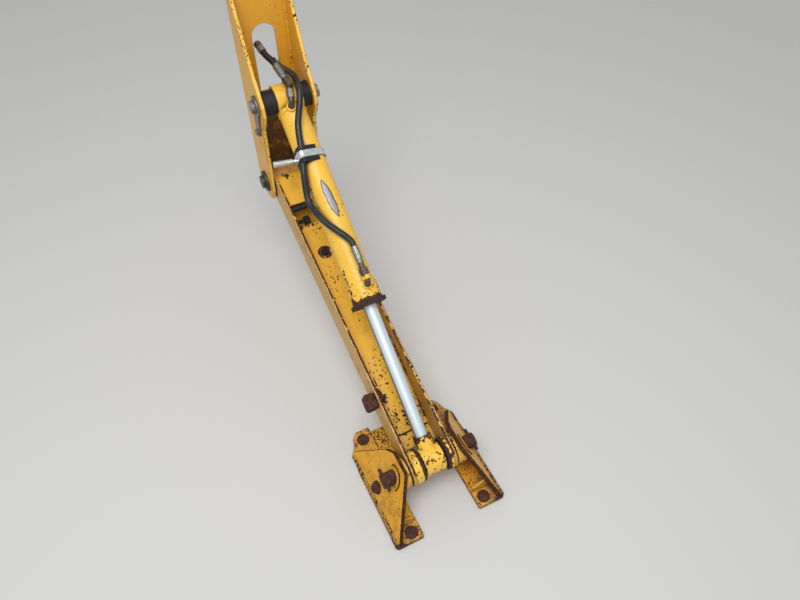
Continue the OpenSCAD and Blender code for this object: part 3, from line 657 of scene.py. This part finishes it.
# The side plates' upward edges get a painted highlight.
side_paint.painted_highlight = side_paint.painted_highlight.most(on_edge * 0.6)
side_paint = side_paint.sprayed(
    lost=down_leg.rise(0.6, 1.2) * 0.02 + on_edge * front_side * 0.05,
    rusted=inner_edge * worn_bare)
seam_paint = Paint("seam_paint", (0.42, 0.19, 0.025), edge=0.003, worn=1.0, chips=1.6,
                   flakes=1.6, dust=0.1, grime=1.0, stain=0.9).sprayed(lost=0.08, size=1.3)
dress(top_paint, "leg_top_plate", "leg_ramp", "leg_cover_plate", "leg_bottom_plate")
dress(side_paint, "leg_rear_side", "leg_front_side", "leg_pivot_tube")
bend_gap = 0.004
off_ramp = np.array([ramp_drop, 0, ramp_run]) / np.hypot(ramp_run, ramp_drop)
for side, where in ((-1, "rear"), (1, "front")):
    y = side * leg_in
    inward = turn_leg((0, -side, 0))
    seam = on_leg([[plate_start, y, top_face], [ramp_start - bend_gap, y, top_face]])
    bead(f"leg_top_{where}_weld", seam, inward, turn_leg((0, 0, 1)), 0.0055, seam_paint, "leg")
    seam = on_leg([[ramp_start + bend_gap, y, top_face - 0.0006], [ramp_end[0], y, ramp_end[1]]])
    bead(f"leg_ramp_{where}_weld", seam, inward, turn_leg(off_ramp), 0.0055, seam_paint, "leg")

# Small iron on the leg: the lock block on its rear side, the stud and nut under the stop bar,
# and the plug screwed into the top plate. None was painted again: the block has rusted brown,
# and the rest is black with dirt.


def rusty_iron(name, iron, rust):
    """Scaly brown rust in two sizes of lump over dark iron."""
    f = Finish(name)
    scale = f.noise(90, 5, 0.65)
    grain = f.noise(520, 4, 0.7, seed=3)
    colour = f.blend(scale.rise(0.35, 0.65), iron, rust)
    colour = f.blend(grain.rise(0.55, 0.75) * 0.5, colour, (0.20, 0.080, 0.036))
    rounded = f.node("ShaderNodeBevel", {"samples": 4}, {"Radius": 0.002})
    bump = f.node("ShaderNodeBump", {}, {"Height": scale + grain * 0.5, "Distance": 0.0012,
                                         "Normal": rounded})
    return f.done(colour, 0.88, 0.1, bump)


rust_finish = rusty_iron("rusty_iron", (0.032, 0.014, 0.010), (0.105, 0.036, 0.020))
black_finish = rusty_iron("blackened_iron", (0.010, 0.009, 0.009), (0.028, 0.018, 0.014))
dress(rust_finish, "leg_block_stud", "foot_thrust_rings", "foot_pin_ends", "rod_pin_core")


def lumpy(name, middle, half, blunt, rough, seed):
    """Rough forged block: a superellipsoid, whose sines and cosines are raised to blunt, pushed
    out along its own radius by a sum of six sine waves of falling size."""
    turn = np.linspace(0, 2 * pi, 72, endpoint=False)[None, :]
    rise = np.linspace(-pi / 2 + 0.02, pi / 2 - 0.02, 40)[:, None]

    def power(value):
        return np.sign(value) * np.abs(value) ** blunt

    ball = np.stack([
        power(np.cos(rise)) * power(np.cos(turn)),
        power(np.cos(rise)) * power(np.sin(turn)),
        power(np.sin(rise)) * np.ones_like(turn),
    ], -1)
    waves = np.random.default_rng(seed).normal(size=(6, 3))
    swell = sum(np.sin(ball @ (wave * (3 + 2 * n)) + n) / (2 + n) for n, wave in enumerate(waves))
    reach = np.asarray(half) - rough + rough * swell[..., None] * 0.8
    return skin(name, on_leg(np.asarray(middle) + ball * reach), sharp=60)


block_at, block_half = (0.975, -0.1035, 0.022), (0.030, 0.0225, 0.030)
block = lumpy("lock_block", block_at, block_half, blunt=0.30, rough=0.0025, seed=4)
block.data.materials.append(rust_finish)
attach(block, "leg")
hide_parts("leg_lock_block")
plug = lumpy("plug_head", (*plug_at, 0.0035), (0.0145, 0.0145, 0.0085), blunt=0.45,
             rough=0.002, seed=9)
seat = turned_between("plug_seat", on_leg((*plug_at, -0.015)), on_leg((*plug_at, -0.001)),
                      [(0, 0.0165), (0.8, 0.0168), (1, 0.0152)])
for piece in (plug, seat):
    piece.data.materials.append(black_finish)
    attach(piece, "leg")
    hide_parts("leg_plug")
stop_line = on_leg([(0.222, y, 0.004) for y in (-0.071, -0.036, -0.013)])
stud_wide, stop_flats = 0.008, 0.030
stop_stud = turned_between("stop_stud", *stop_line[:2], [(0, stud_wide), (1, stud_wide)],
                           sides=24)
stop_nut = hex_nut("stop_nut", *stop_line[1:], stop_flats)
for piece in (stop_stud, stop_nut):
    piece.data.materials.append(black_finish)
    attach(piece, "leg")

# Rubber: the two rings that fill the gap beside the cylinder's eye, the bar that the barrel
# would rest on in the folded leg, and the saddle under the clamp. All are moulded and dull.


def plain_rubber():
    """Moulded black rubber, dusty, with a dull skin."""
    f = Finish("moulded_rubber")
    dusty = f.noise(45, 5, 0.65).rise(0.4, 0.75)
    colour = f.blend(dusty * 0.15, (0.006, 0.006, 0.009), (0.06, 0.05, 0.04))
    rounded = f.node("ShaderNodeBevel", {"samples": 4}, {"Radius": 0.002})
    bump = f.node("ShaderNodeBump", {}, {"Height": f.noise(600, 3, seed=4), "Distance": 0.0002,
                                         "Normal": rounded})
    return f.done(colour, 0.6 + dusty * 0.2, normal=bump)


rubber_finish = plain_rubber()
dress(rubber_finish, "eye_spacers", "leg_stop_bar", "clamp_saddle")

# Cylinder: a honed tube welded to a base with a cross eye, and a screwed gland head at the rod
# end with a square flange. Sprayed after assembly in a warmer, glossier yellow than the frame.
# The barrel's front has been scraped bare against something.


def ram_place(finish):
    """The shader's place along the cylinder, forward of its middle and over it."""
    return finish.node("ShaderNodeMapping", {"vector_type": "TEXTURE"},
                       {"Vector": finish.place(), "Location": ram_pivot,
                        "Rotation": (0, ram_droop, 0)})


barrel_radius, gland_start, gland_end = 0.048, 0.697, 0.7450
scrape_at, scrape_half, scrape_wide = 0.391, 0.066, 0.0108
barrel_paint = Paint("barrel_paint", (0.89, 0.52, 0.050), edge=0.004, worn=0.6, chips=0.3,
                     flakes=0.2, dust=0.04, grime=0.8, stain=0.2)
ram_at = ram_place(barrel_paint)
along, aside, over = barrel_paint.parts(ram_at)
gland_wear = along.rise(0.60, 0.75)
on_gland = along.rise(0.70, 0.72)
scallops = (barrel_paint.noise(75, 3, seed=14) - 0.5) * 0.03
bare_end = (along - gland_end + scallops).rise(0, 0.0025) * on_gland
round_it = aside.math("ARCTAN2", aside, over) * barrel_radius
from_rear = (round_it + 0.064).size()
rear_band = 1 - from_rear.rise(0.006, 0.020)
rear_drip = (along - 0.726 + scallops * 1.5 - from_rear * 1.3).rise(0, 0.0025) * on_gland
step = 1 - (along - gland_start).size().rise(0.005, 0.010)
barrel_paint.shade_and_dirt = barrel_paint.shade_and_dirt * (1 - step)
barrel_paint.corner = barrel_paint.corner * (1 - step)
barrel_paint.painted_highlight = barrel_paint.painted_highlight * (1 - step)
clusters = barrel_paint.noise(11, 2, 0.5, seed=15).rise(0.54, 0.62)
barrel_paint.close(
    lost=gland_wear * 0.085 - 0.02 + rear_band * clusters * along.rise(0.08, 0.12) * 0.15,
    rusted=bare_end.most(rear_drip))
from_scrape = along - scrape_at
reach = (from_scrape / scrape_half).size() ** 3
scrape = scrape_wide * (1 - reach) - (round_it + 0.0008 - from_scrape * 0.087).size()
scrape = scrape + (barrel_paint.noise(100, 4, 0.65, seed=12) - 0.5) * 0.009
bare = scrape.rise(0.0002, 0.0014)
rim = scrape.rise(-0.0040, -0.0018)
streak = barrel_paint.node(
    "ShaderNodeMapping", {}, {"Vector": ram_at, "Scale": (60, 900, 900)})
streak = barrel_paint.noise(1, 3, 0.6, at=streak, seed=13)
silver = barrel_paint.blend(streak.rise(0.3, 0.7), (0.22, 0.22, 0.24), (0.42, 0.43, 0.45))
colour = barrel_paint.blend(rim, barrel_paint.tint, (0.045, 0.035, 0.025))
colour = barrel_paint.blend(bare, colour, silver)
rough = barrel_paint.rough * (1 - bare) + bare * 0.5
barrel_finish = barrel_paint.done(colour, rough, bare * 0.5, barrel_paint.normal,
                                  Coat_Roughness=0.32)
dress(barrel_finish, "barrel_tube", "barrel_base", "gland_head")
flange_paint = Paint("flange_paint", (0.60, 0.29, 0.03), edge=0.006, worn=1.6, chips=1.8,
                     flakes=2.2, dust=0.1, grime=1.0, stain=0.8)
flange_paint.rust_core = (0.017, 0.009, 0.006)
flange_paint = flange_paint.sprayed(lost=0.22, size=1.7)
dress(flange_paint, "gland_flange")

# Elbows: each port has a turned boss, a dark steel elbow that turns back along the barrel, and
# hexagons that screw it to the hose's sleeve. The rod end's middle hexagon kept its paint.

base_line = np.array([[0.054, -0.009, 0.040], [0.054, -0.009, 0.058], [0.0515, -0.0085, 0.070],
                      [0.042, -0.0068, 0.0775], [0.026, -0.004, 0.0792], [0.004, 0.0003, 0.0787],
                      [-0.0175, 0.00375, 0.0773]])
rod_line = np.array([[0.706, 0.006, 0.046], [0.706, 0.006, 0.062], [0.7035, 0.006, 0.0715],
                     [0.696, 0.006, 0.0775], [0.684, 0.006, 0.078], [0.636, 0.006, 0.078]])
elbow_wide, boss_foot = 0.0098, 0.042
boss_profile = [(0, 0.0172), (0.75, 0.0172), (0.95, 0.0160), (1, 0.0145), (1, 0.0118),
                (0.8, 0.0112)]
for name, line, boss_top in (("base", base_line, 0.056), ("rod", rod_line, 0.061)):
    elbow = skin(f"{name}_elbow_tube", rings_along(on_ram(flowing(line, steps=8)), elbow_wide))
    elbow.data.materials.append(dark_nut)
    boss = turned_between(f"{name}_port_boss", *on_ram([[*line[0][:2], boss_foot],
                                                        [*line[0][:2], boss_top]]), boss_profile)
    boss.data.materials.append(barrel_finish)
    for piece, slot in ((elbow, "fitting_steel"), (boss, "ram_paint")):
        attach(piece, "barrel")
        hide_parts(f"{name}_elbow")
for name, start, end, flats, finish in (
        ("base_union", (0.037, -0.006, 0.0790), (0.008, -0.0005, 0.0788), 0.0235, crimp_zinc),
        ("base_swivel", (-0.001, 0.0065, 0.0806), (-0.034, 0.001, 0.074), 0.0262, dark_nut),
        ("rod_union", (0.692, 0.006, 0.078), (0.678, 0.006, 0.078), 0.0262, barrel_finish),
        ("rod_swivel", (0.677, 0.006, 0.078), (0.652, 0.006, 0.078), 0.0277, dark_nut)):
    nut = hex_nut(name, *on_ram([start, end]), flats)
    nut.data.materials.append(finish)
    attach(nut, "barrel")

# Rod: hard chrome on steel, kept bright by the gland's wiper. Its eye is a forged ring, and
# most of the paint has gone where it rubs between the leg's bosses.


def chrome():
    """Ground and plated: faint lines along the rod from the seals, and painted shade that darkens
    its under side."""
    f = Finish("chrome")
    rod_at = ram_place(f)
    drawn = f.node("ShaderNodeMapping", {}, {"Vector": rod_at, "Scale": (4, 700, 700)})
    over = f.parts(rod_at)[2]
    lines = f.noise(1, 3, 0.5, at=drawn)
    haze = f.noise(14, 3, seed=3).rise(0.45, 0.8)
    # The rod's lower part, up to a little over its middle line, is darkened towards black: painted
    # shade.
    painted_underside_shade = 1 - over.rise(0.006, 0.0115)
    colour = f.blend(painted_underside_shade * 0.85, (0.665, 0.745, 0.785), (0.085, 0.10, 0.11))
    return f.done(colour, 0.49 + haze * 0.06 + lines * 0.05, 0.50, f.bump(lines, 0.00002))


dress(chrome(), "rod")
eye_paint = Paint("eye_paint", (0.92, 0.54, 0.055), edge=0.007, worn=1.4, chips=0.5,
                  flakes=1.3, dust=0.05, grime=0.95, stain=0.45)
eye_half = 0.045
beside_eye = (eye_paint.y - float(ram_pivot[1])).size()
rubbed = (beside_eye - eye_half).size().rise(0.012, 0.002)
neck = 1 - eye_paint.x.rise(1.205, 1.245)
eye_paint = eye_paint.sprayed(lost=rubbed * 0.25 + neck * 0.20 + 0.02, size=1.9)
dress(eye_paint, "rod_eye", "leg_foot_bosses")
collar_paint = Paint("collar_paint", (0.74, 0.39, 0.03), edge=0.006, worn=1.4, chips=0.8,
                     flakes=1.2, dust=0.10, grime=0.9, stain=0.6).sprayed(lost=0.04, size=1.5)
dress(collar_paint, "ear_collars")

# Clamp: a zinc-plated steel band round the barrel and over the rubber saddle that holds the
# hose, drawn tight by a screw in a long tube nut. Its rims are rolled, and stand proud of it.

clamp_at, band_gap, round_barrel, round_hose = 0.225, 0.0004, 0.051, 0.014
band_section = np.array([
    (-0.0120, 0.0006), (-0.0113, 0.0), (0.0113, 0.0), (0.0120, 0.0006), (0.0120, 0.0024),
    (0.0113, 0.0030), (0.0098, 0.0026), (0.0088, 0.0021), (-0.0088, 0.0021), (-0.0098, 0.0026),
    (-0.0113, 0.0030), (-0.0120, 0.0024)])
turn = np.linspace(0, 2 * pi, 160, endpoint=False)
out = np.stack([np.cos(turn), np.sin(turn)], -1)
saddle = np.array([-0.035, 0.051])
over_hose = out @ saddle + round_hose > round_barrel
middle = np.where(over_hose[:, None], saddle, 0)
reach = np.where(over_hose, round_hose, round_barrel)
rows = []
for along_it, raised in band_section:
    line = middle + (reach + band_gap + raised)[:, None] * out
    rows.append(np.column_stack([np.full(len(turn), clamp_at + along_it), line]))
band = skin("clamp_strap", on_ram(rows), loop=True, sharp=30)
band.data.materials.append(bright_zinc)
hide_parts("clamp_band")
tie_foot, tie_head = np.array([0.228, -0.040, 0.014]), np.array([0.218, -0.132, 0.020])
screw_end, nut_start = (tie_head + share * (tie_foot - tie_head) for share in (0.3, 0.72))
screw_wide = 0.007
tube_nut_profile = [
    (0, 0.0088), (0.02, 0.0102), (0.40, 0.0102), (0.41, 0.0098), (0.44, 0.0098), (0.45, 0.0102),
    (0.97, 0.0102), (1, 0.0088), (1, 0.0062), (0.90, 0.0058)]
screw = turned_between("clamp_screw", *on_ram([tie_foot, screw_end]),
                       [(0, screw_wide), (1, screw_wide)], sides=32)
long_nut = turned_between("clamp_tube_nut", *on_ram([nut_start, tie_head]), tube_nut_profile)
for piece in (screw, long_nut):
    piece.data.materials.append(bright_zinc)
    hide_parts("clamp_bolt")
for piece in (band, screw, long_nut):
    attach(piece, "barrel")

# Foot: two ground plates with leaning ears, tied at the heel. Flame-cut, welded and sprayed,
# then ground on stones until the tips and the edges are bare and brown.

foot_pin = np.array([1.26924, 0, -0.3426])
shoe_top, shoe_bottom, ear_foot = foot_pin[2] - 0.127, foot_pin[2] - 0.142, 0.198
ear_lean, ear_thick, ear_heel, ear_toe = radians(25.5), 0.014, -0.190, 0.170
foot_yellow = (0.74, 0.36, 0.022)
foot_paint = Paint("foot_paint", foot_yellow, edge=0.006, worn=2.2, chips=0.0, flakes=0.2,
                   dust=0.07, grime=0.95, stain=0.6)
tip = (foot_paint.x + foot_paint.y.size() * 1.1).rise(1.625, 1.650)
low = 1 - foot_paint.z.rise(shoe_top - 0.0019, shoe_top + 0.0036)
sole = 1 - foot_paint.z.rise(shoe_bottom + 0.0003, shoe_bottom + 0.0011)
ground_bare = sole * foot_paint.noise(14, 5, 0.65, seed=41).rise(0.36, 0.46)
by_ear = 1 - (foot_paint.y.size() - 0.180).size().rise(0.020, 0.060)
by_ear = by_ear * foot_paint.noise(24, 5, 0.6, seed=42).rise(0.38, 0.62)
foot_paint.shade_and_dirt = foot_paint.shade_and_dirt.most(by_ear * 0.75)
foot_paint = foot_paint.sprayed(lost=tip * 0.22 + low * 0.06, rusted=ground_bare)
dress(foot_paint, "rear_shoe", "front_shoe", "shoe_tie", "shoe_ribs")
ear_paint = Paint("ear_paint", foot_yellow, edge=0.006, worn=1.1, chips=0.2, flakes=0.35,
                  dust=0.0, grime=0.95, stain=0.8)
mottles = ear_paint.noise(26, 4, 0.62, seed=43).rise(0.46, 0.70)
ear_paint.shade_and_dirt = ear_paint.shade_and_dirt.most(mottles * 0.45)
_, across_y, across_z = ear_paint.parts(ear_paint.flat)
outward = across_y * ear_paint.y.math("SIGN", ear_paint.y)
square_to_plate = outward * cos(ear_lean) + across_z * sin(ear_lean)
flame_cut = 1 - square_to_plate.size().rise(0.6, 0.8)
tip = ear_paint.x.rise(1.410, 1.445)
ear_paint.close(lost=tip * 0.18, rusted=flame_cut)
ear_paint = ear_paint.done(ear_paint.tint, ear_paint.rough, normal=ear_paint.normal,
                           Specular_IOR_Level=0.2)
dress(ear_paint, "rear_ear", "front_ear")
ear_inner = ear_foot - ear_thick / cos(ear_lean)
for side, where in ((-1, "rear"), (1, "front")):
    up_ear = (0, -side * sin(ear_lean), cos(ear_lean))
    faces = (("outer", ear_foot, side, 0.0075), ("inner", ear_inner, -side, 0.007))
    for face, y, out, size in faces:
        seam = [[foot_pin[0] + x, side * y, shoe_top] for x in (ear_heel, ear_toe)]
        bead(f"foot_{where}_{face}_weld", seam, (0, out, 0), up_ear, size, seam_paint, "foot")


def on_ear(points, side):
    """Points along an ear, out of its outer face and up it, on that side of the foot."""
    points = np.asarray(points, float)
    along, out, over = points[..., 0], points[..., 1], points[..., 2]
    return np.stack([
        foot_pin[0] + along,
        side * (ear_foot + out * cos(ear_lean) - over * sin(ear_lean)),
        shoe_top + out * sin(ear_lean) + over * cos(ear_lean),
    ], -1)


# Loose iron of the foot: round-headed pad bolts in the ground plates' holes, one bolt in each
# ear, the cross pins that keep the foot pin, and the weld that runs round it on each ear.

pad_bolt = [(0, 0.0178), (0.745, 0.0178), (0.75, 0.0216), (0.77, 0.0224), (0.86, 0.0222),
            (0.92, 0.0204), (0.93, 0.0170), (0.97, 0.0158), (0.995, 0.0100), (1, 0.002)]
ear_bolt = [(0, 0.0235), (0.12, 0.0235), (0.17, 0.0222), (0.18, 0.0195), (0.40, 0.0190),
            (0.60, 0.0172), (0.78, 0.0138), (0.92, 0.0085), (0.98, 0.0042), (1, 0.0012)]
cross_pin = [(0, 0.0048), (0.02, 0.006), (0.98, 0.006), (1, 0.0048)]
pad_holes = ((-0.227, 0.142), (0.150, 0.139))
pad_sunk, pad_proud, ear_hole = 0.0145, 0.0045, (-0.026, 0.041)
cross_y, cross_over = 0.164, 0.004
pin_at_ear = (foot_pin[2] - shoe_top) / cos(ear_lean)
for side, where in ((-1, "rear"), (1, "front")):
    irons = []
    for hole, (out, apart) in enumerate(pad_holes):
        ends = [(foot_pin[0] + out, side * apart, shoe_top + z) for z in (-pad_sunk, pad_proud)]
        irons.append(turned_between(f"pad_bolt_{where}_{hole}", *ends, pad_bolt))
    ends = [(ear_hole[0], out, ear_hole[1]) for out in (-0.0005, 0.0205)]
    irons.append(turned_between(f"ear_bolt_{where}", *on_ear(ends, side), ear_bolt))
    ends = [(foot_pin[0] + x, side * cross_y, foot_pin[2] + cross_over) for x in (-0.043, 0.040)]
    irons.append(turned_between(f"cross_pin_{where}", *ends, cross_pin, sides=24))
    for iron in irons:
        iron.data.materials.append(rust_finish)
        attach(iron, "leg" if iron.name.startswith("cross") else "foot")
    angle = np.linspace(-0.5, 2.4, 90)
    ring = np.stack([0.0375 * np.cos(angle), np.zeros_like(angle),
                     pin_at_ear + 0.0415 * np.sin(angle)], -1)
    outward = on_ear(ring * [1, 0, 1], side) - on_ear((0, 0, pin_at_ear), side)
    outward /= np.linalg.norm(outward, axis=1, keepdims=True)
    plate_out = on_ear((0, 1, 0), side) - on_ear((0, 0, 0), side)
    bead(f"pin_{where}_weld", on_ear(ring, side), outward, plate_out, 0.0080, ear_paint, "foot")

# Floor and light: a pale studio floor under the foot, one wide soft lamp high over the camera
# and a little to its left, and an even pale sky.

floor_gap, floor_half = 0.0005, 60.0
floor_z = float(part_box("rear_shoe")[0][2]) - floor_gap
corners = [(x * floor_half, y * floor_half, floor_z)
           for x, y in ((-1, -1), (1, -1), (1, 1), (-1, 1))]
floor_mesh = bpy.data.meshes.new("floor")
floor_mesh.from_pydata(corners, [], [(0, 1, 2, 3)])
floor = bpy.data.objects.new("floor", floor_mesh)
bpy.context.scene.collection.objects.link(floor)
floor_mesh.materials.append(Finish("floor_grey").done((0.62, 0.615, 0.60), 0.9))

world = bpy.data.worlds.new("sky")
bpy.context.scene.world = world
world.use_nodes = True
sky = world.node_tree.nodes["Background"].inputs
sky["Color"].default_value = (0.97, 0.985, 1.0, 1)
sky["Strength"].default_value = 0.60
lamp = bpy.data.objects.new("soft_lamp", bpy.data.lights.new("soft_lamp", "AREA"))
bpy.context.scene.collection.objects.link(lamp)
lamp.data.size = 2.2
lamp.data.energy = 95
lamp.location = (1.9, -0.9, 3.4)
lit_spot = Vector((0.8, 0, 0))
lamp.rotation_euler = (lit_spot - lamp.location).to_track_quat("-Z", "Y").to_euler()
bpy.context.scene.view_settings.view_transform = "Standard"
